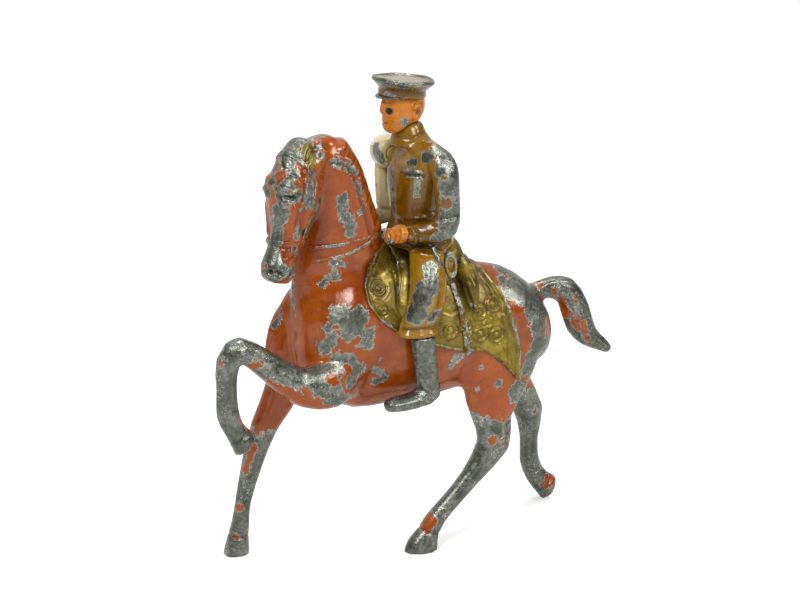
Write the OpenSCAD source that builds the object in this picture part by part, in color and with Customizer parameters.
/* [Horse body] */
// Length of the body from breast to rump
body_len = 48; // [45:0.5:51]
// Height of the belly line above the floor
belly_h = 25; // [23:0.5:27]
// Depth of the body from belly to back
body_h = 25; // [23.5:0.5:26.5]
// Width of the barrel at its widest
body_w = 15; // [14:0.5:16]

/* [Horse neck and head] */
// Rise of the neck from the back to the poll
neck_rise = 21; // [19:0.5:23]
// Depth of the neck from throat to crest, halfway up
neck_depth = 11.5; // [10.5:0.5:12.5]
// Width of the neck halfway up
neck_w = 8.4; // [7.6:0.2:9.2]
// Length of the head from poll to muzzle
head_len = 22; // [20:0.5:24]
// Depth of the head at the jowl
head_depth = 10.4; // [9.5:0.1:11.5]
// Width of the head at the eyes
head_w = 8; // [7.2:0.1:8.8]
// Degrees that the head is turned to its left
head_turn = 25; // [15:1:35]
// Thickness of the mane over the crest
mane_t = 0.8; // [0.6:0.1:1.2]
// Length of an ear
ear_len = 4; // [3:0.1:5]
// Diameter of the hole in the muzzle
mouth_hole_d = 1.4; // [1:0.1:1.8]
// Depth of the hole in the muzzle
mouth_hole_depth = 2.5; // [1:0.1:4]

/* [Horse legs and tail] */
// Girth of a leg where it leaves the body
leg_w = 8; // [7:0.2:9]
// Girth of a cannon bone
cannon_w = 3.4; // [3:0.1:3.8]
// Length of a hoof
hoof_w = 5; // [4.4:0.1:5.6]
// Length of the tail's reach behind the rump
tail_reach = 12; // [11:0.5:13]
// Thickness of the tail
tail_w = 4.4; // [3.8:0.1:5]

/* [Tack] */
// Thickness of the saddle cloth
cloth_t = 0.6; // [0.5:0.05:0.8]
// Thickness of a saddle flap
flap_t = 0.6; // [0.5:0.05:0.8]
// Height of the raised piping on the cloth
piping_h = 0.3; // [0.2:0.05:0.5]
// Width of the raised piping
piping_w = 0.8; // [0.6:0.05:1]
// Thickness of the straps
strap_t = 0.4; // [0.3:0.05:0.5]
// Width of the straps
strap_w = 0.9; // [0.8:0.05:1.2]
// Height of the seat above the horse's back
seat_rise = 2.6; // [2.2:0.1:3]
// Thickness of the rolled cloak
cloak_w = 3.2; // [2.8:0.1:3.6]

/* [Rider] */
// Height from the seat to the shoulders
torso_h = 18; // [16.5:0.5:19.5]
// Width of the chest
chest_w = 12.4; // [11.6:0.2:13.2]
// Depth of the chest
chest_d = 9; // [8:0.2:10]
// Height of the head from chin to crown
face_h = 8; // [7.4:0.1:8.6]
// Depth of the head from brow to nape
face_d = 7.2; // [6.8:0.1:7.8]
// Width of the head
face_w = 6.4; // [6:0.1:7]
// Diameter of the cap's crown
cap_d = 10.2; // [9.4:0.1:11]
// Diameter of the cap's band
band_d = 7.8; // [7.4:0.1:8.4]
// Height of the cap from band to crown
cap_h = 3; // [2.6:0.1:3.6]
// Degrees that the cap tips back
cap_tip = 5.5; // [0:0.5:9]
// Thickness of the left arm
arm_w = 4.4; // [4:0.1:4.8]
// Thickness of a thigh
thigh_w = 7; // [6.4:0.1:7.6]
// Thickness of a boot at its top
boot_w = 4.4; // [4:0.1:4.8]
// Length of a foot
foot_len = 10; // [9:0.2:11]
// Length of the sword's scabbard
scabbard_len = 12; // [11:0.5:13]
// Width of the scabbard
scabbard_w = 1; // [0.8:0.05:1.2]
// Height of the sword's guard loop
guard_len = 6; // [5.4:0.1:6.6]

/* [Movable arm] */
// Diameter of the shoulder stud
stud_d = 2.4; // [2:0.1:2.8]
// Diameter of the stud's peened end
stud_head_d = 3.6; // [3.2:0.1:4]
// Height of the stud's peened end
stud_head_t = 0.5; // [0.4:0.05:0.8]
// Running clearance of the arm on its stud, all round
stud_fit = 0.06; // [0.03:0.01:0.09]
// Gap between the arm and the tunic
arm_gap = 0.3; // [0.2:0.05:0.5]
// Diameter of the arm's shoulder ring
ring_d = 5.6; // [5.2:0.1:6]
// Thickness of the arm's shoulder ring along the stud
ring_t = 5.1; // [4.7:0.1:5.5]
// Length of the right upper arm
upper_arm = 10.8; // [10:0.2:11.6]
// Length of the right forearm
forearm = 8; // [7:0.2:9]
// Thickness of the right sleeve
sleeve_w = 3.4; // [3:0.1:3.8]

/* [Hidden] */

// Facets of the round parts
round_fn = 32;
bead_fn = 16;
body_sides = 16;
limb_sides = 10;
small_sides = 8;
// Rings of facets of a rounded end
end_fn = 2;
// Length by which cuts run past what they cut
over = 1;

// The origin lies on the floor under the middle of the overall length
breast_x = -0.4688*body_len;
back_z = belly_h + body_h;

// Height of the seat and the rider's centre line
seat_z = back_z + seat_rise;
seat_x = breast_x + 0.46*body_len;
shoulder_z = seat_z + torso_h;

// Paint of each part
horse_paint = [0.78, 0.34, 0.16];
lead = [0.46, 0.46, 0.42];
cloth_paint = [0.50, 0.43, 0.10];
tunic_paint = [0.55, 0.36, 0.05];
khaki = [0.72, 0.66, 0.45];
skin_paint = [0.86, 0.47, 0.10];

// A point on the horse: shares of the body's length, width and depth
function along(s) = breast_x + s*body_len;
function aside(s) = s*body_w;
function above(s) = belly_h + s*body_h;

// One value of a smooth curve from b to c, with a and d as its neighbours
function blend(a, b, c, d, t) =
  b + 0.5*t*(c - a + t*(2*a - 5*b + 4*c - d + t*(3*(b - c) + d - a)));
function at(s, k) = s[max(0, min(len(s) - 1, k))];
function smooth(s, steps) = concat(
  [for (k = [0:len(s) - 2], j = [0:steps - 1]) blend(at(s, k - 1), s[k], s[k + 1], at(s, k + 2), j/steps)],
  [s[len(s) - 1]]);

// A station is x, y, z, heading in the XZ plane, half width, reach to the left
// of the heading and reach to its right. A ring is its outline.
function ring(s, n) = let (left = [-sin(s[3]), 0, cos(s[3])], c = [s[0], s[1], s[2]])
  [for (i = [0:n - 1]) let (t = 90 + 360*i/n)
    c + [0, s[4]*cos(t), 0] + left*(sin(t) > 0 ? s[5] : s[6])*sin(t)];

// Station k of a rounded end that bulges past station s
function dome(s, bulge, k) = let (t = 90*k/(end_fn + 0.5))
  [s[0] + cos(s[3])*bulge*sin(t), s[1], s[2] + sin(s[3])*bulge*sin(t), s[3],
   s[4]*cos(t), s[5]*cos(t), s[6]*cos(t)];

// Skin through smoothed stations, rounded by a bulge at its first and last end
module loft(stations, first = 0, last = 0, n = limb_sides, steps = 2) {
  p = smooth(stations, steps);
  all = [if (first > 0) for (k = [end_fn:-1:1]) dome(p[0], -first, k),
    each p,
    if (last > 0) for (k = [1:end_fn]) dome(p[len(p) - 1], last, k)];
  m = len(all);
  points = [for (s = all) each ring(s, n)];
  polyhedron(points, concat(
    [[for (i = [0:n - 1]) i], [for (i = [n - 1:-1:0]) (m - 1)*n + i]],
    [for (k = [0:m - 2], i = [0:n - 1]) let (j = (i + 1)%n) each
      [[k*n + i, (k + 1)*n + i, (k + 1)*n + j], [k*n + i, (k + 1)*n + j, k*n + j]]]));
}

// A slab through the whole width, with its outline in the XZ plane
module side_prism(outline, from_y, to_y)
  translate([0, to_y, 0]) rotate([90, 0, 0]) linear_extrude(to_y - from_y) polygon(outline);

// A strip of given width along a line of points in the XZ plane
module strip(points, width)
  for (k = [0:len(points) - 2])
    hull() for (p = [points[k], points[k + 1]]) translate(p) circle(d = width, $fn = small_sides);

// Shares along, height of centre, half width, upper reach, lower reach
body_shares = [
  [0.03, 0.60, 0.30, 0.30, 0.30],
  [0.10, 0.57, 0.41, 0.42, 0.44],
  [0.22, 0.55, 0.45, 0.54, 0.54],
  [0.36, 0.53, 0.48, 0.53, 0.52],
  [0.52, 0.52, 0.50, 0.46, 0.50],
  [0.66, 0.52, 0.49, 0.412, 0.45],
  [0.79, 0.49, 0.49, 0.392, 0.38],
  [0.895, 0.44, 0.44, 0.31, 0.31],
  [0.95, 0.40, 0.33, 0.21, 0.22]];
module barrel(grow = 0)
  loft([for (s = body_shares)
      [along(s[0]), 0, above(s[1]), 0, aside(s[2]) + grow, s[3]*body_h + grow, s[4]*body_h + grow]],
    0.03*body_len + grow, 0.03*body_len + grow, body_sides, 2);

module horse_body() color(horse_paint) barrel();

// Neck stations: x and z as shares of the body and of the neck's rise, then sizes
neck_shares = [
  [0.210, -0.30, 92, 1.25, 0.86, 0.76],
  [0.196, 0.00, 93, 1.18, 0.80, 0.72],
  [0.180, 0.27, 93, 1.04, 0.62, 0.59],
  [0.166, 0.50, 98, 0.94, 0.50, 0.47],
  [0.146, 0.74, 106, 0.82, 0.42, 0.40],
  [0.116, 0.93, 122, 0.70, 0.31, 0.31]];
module neck_form(grow = 0)
  loft([for (s = neck_shares)
      [along(s[0]), -0.10*neck_w*max(0, s[1]), back_z + s[1]*neck_rise, s[2],
       s[3]*neck_w/2 + grow, s[4]*neck_depth + grow, s[5]*neck_depth + grow]],
    0, 0.12*neck_depth + grow, body_sides, 2);

module horse_neck() color(horse_paint) difference() {
  neck_form();
  barrel();
}

// Head stations in its own frame: forward and down from the poll, then sizes
head_shares = [
  [0.07, -0.04, -44, 0.38, 0.40, 0.28],
  [0.19, -0.19, -62, 0.47, 0.49, 0.42],
  [0.27, -0.37, -70, 0.51, 0.41, 0.53],
  [0.32, -0.56, -72, 0.40, 0.27, 0.43],
  [0.37, -0.73, -72, 0.32, 0.27, 0.29],
  [0.42, -0.85, -73, 0.335, 0.31, 0.30],
  [0.435, -0.915, -76, 0.28, 0.25, 0.25]];
poll_x = along(0.082);
poll_y = -0.20*neck_w;
poll_z = back_z + neck_rise;
module on_head() translate([poll_x, poll_y, poll_z]) rotate([0, 0, head_turn]) children();
module head_form(grow = 0)
  on_head() mirror([1, 0, 0]) loft([for (s = head_shares)
      [s[0]*head_len, 0, s[1]*head_len, s[2], s[3]*head_w + grow,
       s[4]*head_depth + grow, s[5]*head_depth + grow]],
    0.12*head_depth + grow, 0.07*head_depth + grow, body_sides, 2);

module horse_head() color(horse_paint) difference() {
  head_form();
  neck_form();
  on_head() translate([-0.47*head_len, 0, -1.03*head_len]) rotate([0, -14, 0])
    cylinder(d = mouth_hole_d, h = 2*mouth_hole_depth, center = true, $fn = bead_fn);
}

module ear(side)
  on_head() translate([-0.10*head_len, side*0.40*head_w, -0.10*head_len]) rotate([side*-10, 32, 0])
    hull() {
      translate([0, 0, -0.25*ear_len]) sphere(d = 0.42*ear_len, $fn = bead_fn/2);
      translate([0, 0, 0.15*ear_len]) sphere(d = 0.50*ear_len, $fn = bead_fn/2);
      translate([0, 0, 0.62*ear_len]) sphere(d = 0.16*ear_len, $fn = bead_fn/2);
    }
module ear_node(side) color(horse_paint) difference() {
  ear(side);
  head_form();
  neck_form();
}
module left_ear() ear_node(-1);
module right_ear() ear_node(1);

module forelock_form()
  on_head() mirror([1, 0, 0]) loft([
      [-0.13*head_len, 0, 0.025*head_len, 0, 0.26*head_w, 0.10*head_depth, 0.2*head_depth],
      [0.02*head_len, 0, 0.015*head_len, -16, 0.28*head_w, 0.11*head_depth, 0.2*head_depth],
      [0.16*head_len, 0, -0.03*head_len, -45, 0.22*head_w, 0.10*head_depth, 0.2*head_depth],
      [0.30*head_len, 0, -0.19*head_len, -62, 0.10*head_w, 0.06*head_depth, 0.2*head_depth]],
    0.05*head_depth, 0.05*head_depth, small_sides, 2);
module forelock() color(horse_paint) difference() {
  forelock_form();
  head_form();
  neck_form();
  for (side = [-1, 1]) ear(side);
}

// The mane lies over the crest: neck stations moved back and grown
module mane_form()
  loft([for (s = neck_shares) if (s[1] > 0.1)
      [along(s[0]) + 0.5*s[5]*neck_depth*sin(s[2]), -0.10*neck_w*s[1],
       back_z + s[1]*neck_rise - 0.5*s[5]*neck_depth*cos(s[2]), s[2],
       0.42*s[3]*neck_w + mane_t, 0.05*neck_depth, 0.5*s[5]*neck_depth + mane_t]],
    0, 0.5*mane_t);
module mane() color(horse_paint) difference() {
  mane_form();
  neck_form();
  barrel();
  head_form();
}

// Leg stations: x and y shares, z as a share of the belly's height and, past it,
// of the body's depth, heading, the size that the girth follows, then half width
// and the two reaches as shares of it
function leg_z(s) = min(s, 1)*belly_h + max(s - 1, 0)*body_h;
function leg(rows, grow = 0) = [for (s = rows)
  [along(s[0]), aside(s[1]), leg_z(s[2]), s[3], s[5]*s[4] + grow, s[6]*s[4] + grow, s[7]*s[4] + grow]];
module leg_node(rows, last = 0) color(lead) difference() {
  loft(leg(rows), 0.2*leg_w, last);
  barrel();
  neck_form();
  translate([0, 0, -over*hoof_w]) cube([4*body_len, 4*body_w, 2*over*hoof_w], center = true);
}

left_fore_rows = [
  [0.19, -0.22, 1.36, 205, leg_w, 0.38, 0.56, 0.58],
  [0.10, -0.33, 1.27, 192, leg_w, 0.40, 0.54, 0.54],
  [-0.02, -0.40, 1.30, 172, leg_w, 0.35, 0.44, 0.42],
  [-0.135, -0.43, 1.465, 158, leg_w, 0.28, 0.30, 0.32],
  [-0.232, -0.43, 1.60, 180, cannon_w, 0.58, 0.60, 0.74],
  [-0.270, -0.43, 1.52, 240, cannon_w, 0.54, 0.44, 0.80],
  [-0.278, -0.43, 1.35, 268, cannon_w, 0.48, 0.40, 0.63],
  [-0.276, -0.43, 1.20, 282, cannon_w, 0.50, 0.46, 0.70],
  [-0.258, -0.43, 1.09, 300, cannon_w, 0.48, 0.46, 0.58],
  [-0.238, -0.43, 1.025, 308, hoof_w, 0.42, 0.38, 0.44],
  [-0.222, -0.43, 0.965, 312, hoof_w, 0.46, 0.42, 0.48]];
module left_foreleg() leg_node(left_fore_rows);

right_fore_rows = [
  [0.100, 0.15, 1.86, -92, leg_w, 0.30, 0.50, 0.50],
  [0.068, 0.20, 1.68, -94, leg_w, 0.36, 0.60, 0.66],
  [0.032, 0.24, 1.42, -100, leg_w, 0.38, 0.60, 0.62],
  [0.004, 0.30, 1.16, -110, leg_w, 0.34, 0.46, 0.40],
  [-0.058, 0.35, 0.90, -112, leg_w, 0.28, 0.28, 0.32],
  [-0.107, 0.385, 0.62, -106, cannon_w, 0.56, 0.50, 0.56],
  [-0.140, 0.41, 0.36, -99, cannon_w, 0.45, 0.40, 0.42],
  [-0.152, 0.41, 0.22, -97, cannon_w, 0.48, 0.48, 0.46],
  [-0.162, 0.41, 0.12, -93, hoof_w, 0.38, 0.38, 0.38],
  [-0.168, 0.41, 0, -90, hoof_w, 0.46, 0.45, 0.50]];
module right_foreleg() leg_node(right_fore_rows);

left_hind_rows = [
  [0.80, -0.20, 1.56, -96, leg_w, 0.30, 0.60, 0.70],
  [0.765, -0.27, 1.36, -100, leg_w, 0.41, 0.98, 0.96],
  [0.725, -0.31, 1.10, -101, leg_w, 0.38, 0.84, 0.78],
  [0.708, -0.36, 0.88, -93, leg_w, 0.31, 0.50, 0.46],
  [0.712, -0.39, 0.69, -104, cannon_w, 0.72, 0.94, 0.84],
  [0.625, -0.39, 0.47, -134, cannon_w, 0.50, 0.54, 0.54],
  [0.532, -0.39, 0.29, -136, cannon_w, 0.46, 0.46, 0.50],
  [0.487, -0.39, 0.21, -125, cannon_w, 0.52, 0.54, 0.50],
  [0.465, -0.39, 0.125, -108, hoof_w, 0.38, 0.36, 0.46],
  [0.448, -0.39, 0.06, -96, hoof_w, 0.43, 0.46, 0.66],
  [0.445, -0.39, 0, -90, hoof_w, 0.46, 0.50, 0.76]];
module left_hindleg() leg_node(left_hind_rows);

right_hind_rows = [
  [0.82, 0.20, 1.56, -82, leg_w, 0.30, 0.40, 0.70],
  [0.86, 0.27, 1.28, -74, leg_w, 0.38, 0.36, 0.80],
  [0.92, 0.33, 1.00, -64, leg_w, 0.32, 0.28, 0.52],
  [0.982, 0.38, 0.72, -84, cannon_w, 0.66, 0.86, 0.82],
  [0.993, 0.38, 0.50, -92, cannon_w, 0.50, 0.46, 0.54],
  [0.995, 0.38, 0.32, -82, cannon_w, 0.52, 0.54, 0.54],
  [1.025, 0.38, 0.20, -56, cannon_w, 0.52, 0.54, 0.60],
  [1.058, 0.38, 0.125, -42, hoof_w, 0.42, 0.42, 0.44],
  [1.080, 0.38, 0.085, -30, hoof_w, 0.46, 0.50, 0.52]];
module right_hindleg() leg_node(right_hind_rows, 0.02*leg_w);

// Tail stations: reach behind the rump and height as shares, heading, sizes
tail_shares = [
  [-0.45, 0.62, 24, 0.34, 0.34, 0.34],
  [-0.22, 0.655, 14, 0.38, 0.38, 0.40],
  [0.00, 0.665, -4, 0.44, 0.44, 0.46],
  [0.25, 0.63, -34, 0.50, 0.56, 0.56],
  [0.42, 0.49, -68, 0.54, 0.60, 0.62],
  [0.51, 0.37, -66, 0.52, 0.58, 0.60],
  [0.66, 0.27, -50, 0.42, 0.46, 0.46],
  [0.87, 0.20, -34, 0.29, 0.30, 0.30],
  [1.00, 0.155, -36, 0.20, 0.21, 0.21]];
module tail() color(lead) difference() {
  loft([for (s = tail_shares)
      [along(1) + s[0]*tail_reach, 0, above(s[1]), s[2], s[3]*tail_w, s[4]*tail_w, s[5]*tail_w]],
    0.3*tail_w, 0.1*tail_w, limb_sides, 2);
  barrel();
}

// Cloth outline: shares along and above, and its raised line runs just inside
cloth_shares = [[0.33, 1.16], [0.285, 1.12], [0.25, 1.03], [0.225, 0.92], [0.23, 0.80], [0.27, 0.69],
  [0.33, 0.60], [0.47, 0.47], [0.57, 0.41], [0.66, 0.385], [0.735, 0.27], [0.79, 0.15], [0.80, 0.36],
  [0.755, 0.67], [0.70, 0.89], [0.65, 1.16]];
cloth_line = [for (s = cloth_shares) [along(s[0]), above(s[1])]];
module back_form(grow) {
  barrel(grow);
  neck_form(grow);
  for (rows = [left_hind_rows, right_hind_rows])
    loft(leg([for (k = [0:4]) rows[k]], grow), 0.2*leg_w + grow);
}
module over_back(base, thick) difference() {
  intersection() {
    back_form(base + thick);
    translate([0, body_w, 0]) rotate([90, 0, 0]) linear_extrude(2*body_w) children();
  }
  back_form(base);
}
module saddle_cloth() color(cloth_paint) over_back(0, cloth_t) polygon(cloth_line);

module cloth_piping() color(lead) over_back(cloth_t, piping_h) difference() {
  polygon(cloth_line);
  offset(delta = -piping_w) polygon(cloth_line);
}

// The saddle has a seat between pommel and cantle, and a flap on each side
flap_shares = [[0.33, 1.0], [0.325, 0.75], [0.35, 0.64], [0.42, 0.61], [0.46, 0.66], [0.49, 1.0]];
seat_shares = [
  [0.255, 0.10, 0.24, 0.10],
  [0.30, 0.10, 0.28, 1.15],
  [0.37, 0.10, 0.32, 1.00],
  [0.46, 0.00, 0.34, 1.00],
  [0.55, 0.00, 0.34, 1.00],
  [0.60, 0.00, 0.28, 1.30],
  [0.63, 0.00, 0.22, 0.60]];
module seat_form()
  loft([for (s = seat_shares)
      [along(s[0]), 0, back_z - 0.12*body_h, 0, aside(s[2]), 0.12*body_h + s[3]*seat_rise, 0.04*body_h]],
    0.1*seat_rise, 0.1*seat_rise, body_sides, 2);
module saddle() color(cloth_paint) difference() {
  union() {
    seat_form();
    intersection() {
      barrel(cloth_t + flap_t);
      side_prism([for (s = flap_shares) [along(s[0]), above(s[1])]], -body_w, body_w);
    }
  }
  barrel(cloth_t);
  neck_form(cloth_t);
  cloth_piping();
  skirt_form();
}

// The cloak is rolled across the back behind the cantle
cloak_shares = [[-0.52, 0.70, 62, 0.26], [-0.47, 0.82, 60, 0.46], [-0.32, 0.93, 30, 0.50],
  [0, 0.985, 0, 0.50], [0.32, 0.93, -30, 0.50], [0.47, 0.82, -60, 0.46], [0.52, 0.70, -62, 0.26]];
module rolled_cloak() color(cloth_paint) difference() {
  translate([along(0.61), 0, 0]) rotate([0, 0, 90])
    loft([for (s = cloak_shares)
      [aside(s[0]), 0, above(s[1]), s[2], s[3]*cloak_w, s[3]*cloak_w, s[3]*cloak_w]],
      0.2*cloak_w, 0.2*cloak_w, limb_sides, 2);
  barrel(cloth_t + piping_h);
  saddle();
}

// Straps are bands of the head's own form, raised by their thickness: a noseband,
// a throat strap behind the ears, and a cheek strap between them on each side, each
// with its lean in degrees and its place forward and up from the poll
strap_shares = [[12, 0.35, -0.655], [52, 0.12, -0.26], [14, 0.22, -0.43]];
module head_strap(s, size)
  on_head() translate([-s[1]*head_len, 0, s[2]*head_len]) rotate([0, s[0], 0]) cube(size, center = true);
module bridle() color(lead) difference() {
  intersection() {
    head_form(strap_t);
    union() {
      for (k = [0, 1]) head_strap(strap_shares[k], [2*head_depth, 2*head_w, strap_w]);
      head_strap(strap_shares[2], [strap_w, 2*head_w, 0.46*head_len]);
    }
  }
  head_form();
  neck_form();
  forelock_form();
  mane_form();
  for (side = [-1, 1]) ear(side);
}

// On each side of the neck two reins in relief run back and meet by the rider's hands
rein_shares = [[[0.05, 0.214], [0.16, 0.238], [0.32, 0.28]], [[0.07, 0.12], [0.16, 0.15], [0.32, 0.268]]];
module rein_node(side) color(lead) difference() {
  intersection() {
    neck_form(strap_t);
    translate([0, side > 0 ? body_w : 0, 0]) rotate([90, 0, 0]) linear_extrude(body_w)
      for (rein = rein_shares) strip([for (s = rein) [along(s[0]), back_z + s[1]*neck_rise]], 0.7*strap_w);
  }
  neck_form();
  barrel();
  mane_form();
  head_form();
  side_prism(cloth_line, -body_w, body_w);
}
module left_reins() rein_node(-1);
module right_reins() rein_node(1);

// Sword: the scabbard lies over the cloth on the left
scabbard_top = [along(0.553), above(0.86)];
// Degrees that the sword leans back
scabbard_lean = 9;
module scabbard() color(lead) difference() {
  intersection() {
    barrel(cloth_t + flap_t);
    translate([scabbard_top[0], 0, scabbard_top[1]]) rotate([90, 0, 0]) rotate(scabbard_lean)
      linear_extrude(body_w) strip([[0, 0], [0, -scabbard_len]], scabbard_w);
  }
  barrel(cloth_t);
  cloth_piping();
}

hilt_y = 0.60*body_w;
module guard_outline(size)
  polygon([for (t = [0:20:340]) [0.24*size*cos(t), 0.5*size*sin(t)]]);
module sword_hilt() color(lead)
  translate([along(0.513), -hilt_y, above(0.98)]) rotate([90, 0, 0]) rotate(scabbard_lean)
    linear_extrude(scabbard_w, center = true) difference() {
      guard_outline(guard_len);
      guard_outline(0.6*guard_len);
    }

// Rider's tunic: height share, offset share, then half width, front and back shares
tunic_shares = [
  [0.20, 0.06, 0.41, 0.46, 0.46],
  [0.34, 0.02, 0.42, 0.46, 0.46],
  [0.52, 0.00, 0.46, 0.47, 0.48],
  [0.72, -0.02, 0.51, 0.43, 0.48],
  [0.85, 0.00, 0.53, 0.33, 0.48],
  [0.935, 0.02, 0.45, 0.26, 0.42],
  [0.995, 0.02, 0.33, 0.23, 0.33]];
module tunic_form()
  loft([for (s = tunic_shares)
      [seat_x + s[1]*chest_d, 0, seat_z + s[0]*torso_h, 90, s[2]*chest_w, s[3]*chest_d, s[4]*chest_d]],
    0, 0.04*torso_h, body_sides, 2);
// The right side is flat where the sleeve swings, with a round seat for the arm's ring
side_y = 0.46*chest_w;
arm_face_y = 0.30*chest_w;
module beside_sleeve()
  translate([seat_x - chest_d, side_y, seat_z - over]) cube([2*chest_d, chest_w, 2*torso_h]);
module tunic() color(tunic_paint) difference() {
  tunic_form();
  beside_sleeve();
  at_pivot(arm_face_y) cylinder(d = ring_d + 2*arm_gap, h = chest_w, $fn = round_fn);
}

skirt_shares = [
  [0, 0.04, 0.58, 0.58, 0.70],
  [0.08, 0.05, 0.54, 0.55, 0.64],
  [0.20, 0.06, 0.43, 0.48, 0.48]];
module skirt_form()
  loft([for (s = skirt_shares)
      [seat_x + s[1]*chest_d, 0, seat_z + s[0]*torso_h, 90, s[2]*chest_w, s[3]*chest_d, s[4]*chest_d]],
    0, 0, body_sides, 2);
module tunic_skirt() color(tunic_paint) difference() {
  skirt_form();
  beside_sleeve();
  barrel(cloth_t + piping_h);
  neck_form(cloth_t + piping_h);
}

collar_r = 0.40*face_d;
neck_x = seat_x - 0.10*chest_d;
chin_z = shoulder_z + 0.035*torso_h;
module collar_form() translate([neck_x, 0, shoulder_z - 0.08*torso_h]) rotate_extrude($fn = round_fn)
  polygon([[0, 0], [1.4*collar_r, 0], [1.22*collar_r, 0.08*torso_h], [1.06*collar_r, 0.15*torso_h],
    [0.95*collar_r, 0.225*torso_h], [0, 0.225*torso_h]]);
module collar() color(tunic_paint) difference() {
  collar_form();
  tunic_form();
}

// Head: height share, forward share, then half width, front and back shares
face_shares = [
  [0.02, 0.04, 0.28, 0.30, 0.26],
  [0.12, 0.04, 0.36, 0.41, 0.32],
  [0.28, 0.01, 0.44, 0.46, 0.42],
  [0.48, 0.00, 0.49, 0.48, 0.53],
  [0.70, 0.00, 0.50, 0.46, 0.52],
  [0.86, 0.00, 0.48, 0.45, 0.50]];
head_x = neck_x - 0.17*face_d;
module head_of_rider() {
  loft([for (s = face_shares)
      [head_x - s[1]*face_d, 0, chin_z + s[0]*face_h, 90, s[2]*face_w, s[3]*face_d, s[4]*face_d]],
    0.04*face_h, 0, body_sides, 2);
  translate([head_x - 0.46*face_d, 0, chin_z + 0.58*face_h]) hull() {
    translate([0.01*face_d, 0, 0.09*face_h]) sphere(d = 0.12*face_w, $fn = small_sides);
    translate([-0.03*face_d, 0, -0.09*face_h]) sphere(d = 0.18*face_w, $fn = small_sides);
    translate([0.06*face_d, 0, -0.08*face_h]) sphere(d = 0.24*face_w, $fn = small_sides);
  }
  for (side = [-1, 1]) translate([head_x + 0.10*face_d, side*0.47*face_w, chin_z + 0.48*face_h]) hull() {
    translate([0, 0, 0.10*face_h]) sphere(d = 0.20*face_w, $fn = small_sides);
    translate([0, 0, -0.08*face_h]) sphere(d = 0.15*face_w, $fn = small_sides);
  }
}
module rider_head() color(skin_paint) difference() {
  head_of_rider();
  collar_form();
  on_brow() translate([0, 0, 0.5*over*cap_h]) cube([3*cap_d, 3*cap_d, over*cap_h], center = true);
}

// The cap sits on the brow and tips back
brow_z = chin_z + 0.76*face_h;
module on_brow() translate([head_x, 0, brow_z]) rotate([0, cap_tip, 0]) children();
module cap() color(khaki) on_brow() rotate_extrude($fn = round_fn) polygon([
  [0, 0], [0.47*band_d, 0], [0.5*band_d, 0.10*cap_h], [0.5*band_d, 0.42*cap_h], [0.47*cap_d, 0.72*cap_h],
  [0.5*cap_d, 0.78*cap_h], [0.5*cap_d, cap_h], [0.45*cap_d, cap_h], [0.44*cap_d, 0.90*cap_h],
  [0, 0.94*cap_h]]);
module cap_peak() color(khaki) on_brow() difference() {
  translate([-0.10*band_d, 0, 0]) rotate([0, -10, 0]) cylinder(d = 0.94*band_d, h = 0.18*cap_h, $fn = round_fn);
  translate([0, 0, -over*cap_h]) cylinder(d = band_d, h = 3*over*cap_h, $fn = round_fn);
}

// Left arm: bent at the elbow, with the hand over the pommel
left_arm_shares = [
  [0.14, -0.50, 0.93, -94, 0.42, 0.44, 0.46],
  [0.20, -0.62, 0.79, -88, 0.50, 0.56, 0.58],
  [0.22, -0.68, 0.52, -88, 0.48, 0.50, 0.52],
  [0.22, -0.69, 0.33, -105, 0.48, 0.54, 0.50],
  [0.12, -0.67, 0.225, -150, 0.46, 0.54, 0.46],
  [-0.16, -0.61, 0.195, -178, 0.42, 0.42, 0.44],
  [-0.50, -0.50, 0.19, -184, 0.36, 0.36, 0.36]];
module left_arm_form()
  loft([for (s = left_arm_shares)
      [seat_x + s[0]*chest_d, s[1]*chest_w, seat_z + s[2]*torso_h, s[3], s[4]*arm_w, s[5]*arm_w, s[6]*arm_w]],
    0.30*arm_w, 0, limb_sides, 2);
module left_arm() color(tunic_paint) difference() {
  left_arm_form();
  tunic_form();
  skirt_form();
}

left_hand_shares = [
  [-0.50, -0.50, 0.19, -184, 0.34, 0.32, 0.32],
  [-0.62, -0.46, 0.185, -190, 0.38, 0.38, 0.36],
  [-0.74, -0.42, 0.17, -205, 0.32, 0.34, 0.32]];
module left_hand() color(skin_paint) difference() {
  loft([for (s = left_hand_shares)
      [seat_x + s[0]*chest_d, s[1]*chest_w, seat_z + s[2]*torso_h, s[3], s[4]*arm_w, s[5]*arm_w, s[6]*arm_w]],
    0, 0.2*arm_w, limb_sides, 2);
  left_arm_form();
  neck_form(cloth_t + piping_h);
  mane_form();
  seat_form();
  skirt_form();
}

// Legs of the rider: shares along, aside and down from the seat to the boot's top
boot_top_z = above(0.57);
leg_drop = seat_z - boot_top_z;
thigh_shares = [
  [0.455, 0.42, 0.00, -96, 0.46, 0.44, 0.50],
  [0.440, 0.52, 0.30, -96, 0.44, 0.44, 0.48],
  [0.425, 0.585, 0.60, -96, 0.40, 0.42, 0.50],
  [0.410, 0.570, 0.84, -94, 0.36, 0.36, 0.60],
  [0.405, 0.565, 1.00, -92, 0.35, 0.33, 0.62]];
module thigh_form(side)
  loft([for (s = thigh_shares)
      [along(s[0]), side*aside(s[1]), seat_z - s[2]*leg_drop, s[3], s[4]*thigh_w, s[5]*thigh_w, s[6]*thigh_w]],
    0.12*thigh_w);
module thigh(side) color(tunic_paint) difference() {
  thigh_form(side);
  translate([0, 0, boot_top_z - over]) cube([2*body_len, 4*body_w, 2*over], center = true);
  barrel(cloth_t + flap_t);
  skirt_form();
  seat_form();
  sword_hilt();
}
module left_thigh() thigh(-1);
module right_thigh() thigh(1);

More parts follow.
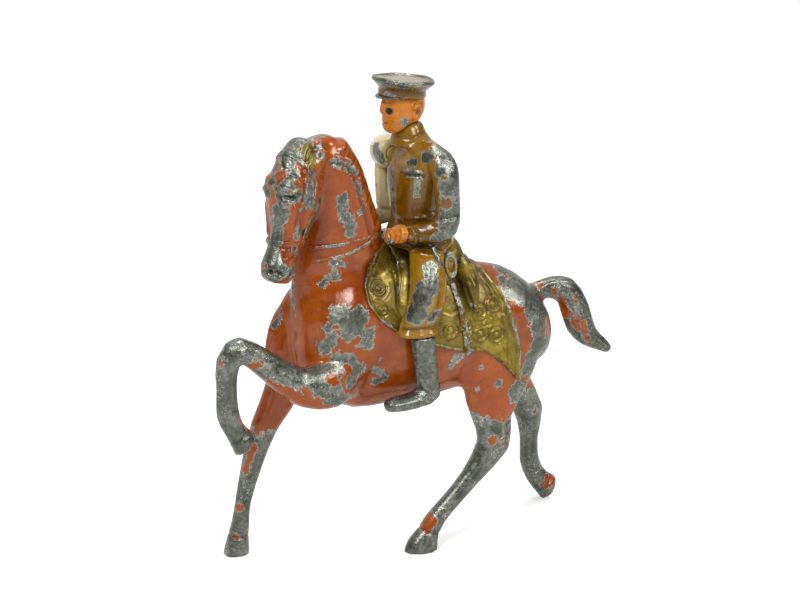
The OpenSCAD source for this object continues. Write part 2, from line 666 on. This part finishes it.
// Boots stand against the horse's sides: shares of the foot from the ankle, aside and above
boot_shares = [
  [-0.12, 0.585, 0.57, -90, 0.48, 0.50, 0.50],
  [-0.07, 0.580, 0.42, -88, 0.46, 0.46, 0.46],
  [-0.02, 0.565, 0.26, -90, 0.44, 0.46, 0.44],
  [0.00, 0.550, 0.17, -112, 0.46, 0.56, 0.46],
  [-0.21, 0.545, 0.12, -160, 0.44, 0.34, 0.36],
  [-0.55, 0.545, 0.112, -182, 0.42, 0.30, 0.32],
  [-0.70, 0.545, 0.11, -184, 0.34, 0.24, 0.26]];
module boot(side) color(lead) difference() {
  loft([for (s = boot_shares)
      [along(0.43) + s[0]*foot_len, side*aside(s[1]), above(s[2]), s[3],
       s[4]*boot_w, s[5]*boot_w, s[6]*boot_w]],
    0, 0.15*boot_w);
  barrel(cloth_t + piping_h);
}
module left_boot() boot(-1);
module right_boot() boot(1);

// Movable arm: a ring on the shoulder stud, a sleeve bent at the elbow and a fist
pivot_x = seat_x - 0.20*chest_d;
pivot_z = shoulder_z - 0.5*ring_d - 0.05*torso_h;
module at_pivot(y) translate([pivot_x, y, pivot_z]) rotate([-90, 0, 0]) children();
arm_y = arm_face_y + arm_gap;
module shoulder_stud() color(lead) at_pivot(arm_face_y) {
  cylinder(d = stud_d, h = 2*arm_gap + ring_t, $fn = round_fn);
  translate([0, 0, 2*arm_gap + ring_t])
    cylinder(d1 = stud_head_d, d2 = 0.7*stud_head_d, h = stud_head_t, $fn = round_fn);
}
// Sleeve stations: shares of the forearm, the sleeve and the upper arm from the pivot
sleeve_y = side_y + arm_gap + 0.5*sleeve_w;
right_arm_shares = [
  [0, 0.00, -0.16, -90, 0.42, 0.50, 0.50],
  [0, 0.02, -0.38, -89, 0.46, 0.52, 0.52],
  [0.02, 0.05, -0.70, -88, 0.44, 0.46, 0.50],
  [0.04, 0.08, -0.94, -108, 0.44, 0.56, 0.50],
  [0.00, 0.08, -1.04, -150, 0.42, 0.50, 0.44],
  [-0.22, 0.06, -1.06, -178, 0.40, 0.40, 0.42],
  [-0.60, 0.00, -1.02, -184, 0.36, 0.36, 0.36]];
// The ring is domed outside and pierced by a true bore
module right_arm() color(khaki) difference() {
  union() {
    at_pivot(arm_y) rotate_extrude($fn = round_fn) polygon([
      [0, 0], [0.44*ring_d, 0], [0.5*ring_d, 0.12*ring_t], [0.5*ring_d, 0.60*ring_t], [0.46*ring_d, 0.80*ring_t],
      [0.38*ring_d, 0.94*ring_t], [0.32*ring_d, ring_t], [0, ring_t]]);
    loft([for (s = right_arm_shares)
        [pivot_x + s[0]*forearm, sleeve_y + s[1]*sleeve_w, pivot_z + s[2]*upper_arm, s[3],
         s[4]*sleeve_w, s[5]*sleeve_w, s[6]*sleeve_w]],
      0, 0, limb_sides, 2);
  }
  at_pivot(arm_y - over) cylinder(d = stud_d + 2*stud_fit, h = ring_t + 2*over, $fn = round_fn);
}
right_fist_shares = [
  [-0.60, 0, -1.02, -184, 0.34, 0.34, 0.34],
  [-0.80, 0, -1.01, -186, 0.44, 0.46, 0.44],
  [-1.00, 0, -1.00, -190, 0.38, 0.42, 0.38]];
module right_fist() color(skin_paint)
  loft([for (s = right_fist_shares)
      [pivot_x + s[0]*forearm, sleeve_y, pivot_z + s[2]*upper_arm, s[3],
       s[4]*sleeve_w, s[5]*sleeve_w, s[6]*sleeve_w]],
    0, 0.2*sleeve_w, limb_sides, 2);

horse_body();
horse_neck();
horse_head();
left_ear();
right_ear();
forelock();
mane();
left_foreleg();
right_foreleg();
left_hindleg();
right_hindleg();
tail();
bridle();
left_reins();
right_reins();
saddle_cloth();
cloth_piping();
saddle();
rolled_cloak();
scabbard();
sword_hilt();
tunic();
tunic_skirt();
collar();
rider_head();
cap();
cap_peak();
left_arm();
left_hand();
left_thigh();
right_thigh();
left_boot();
right_boot();
shoulder_stud();
right_arm();
right_fist();
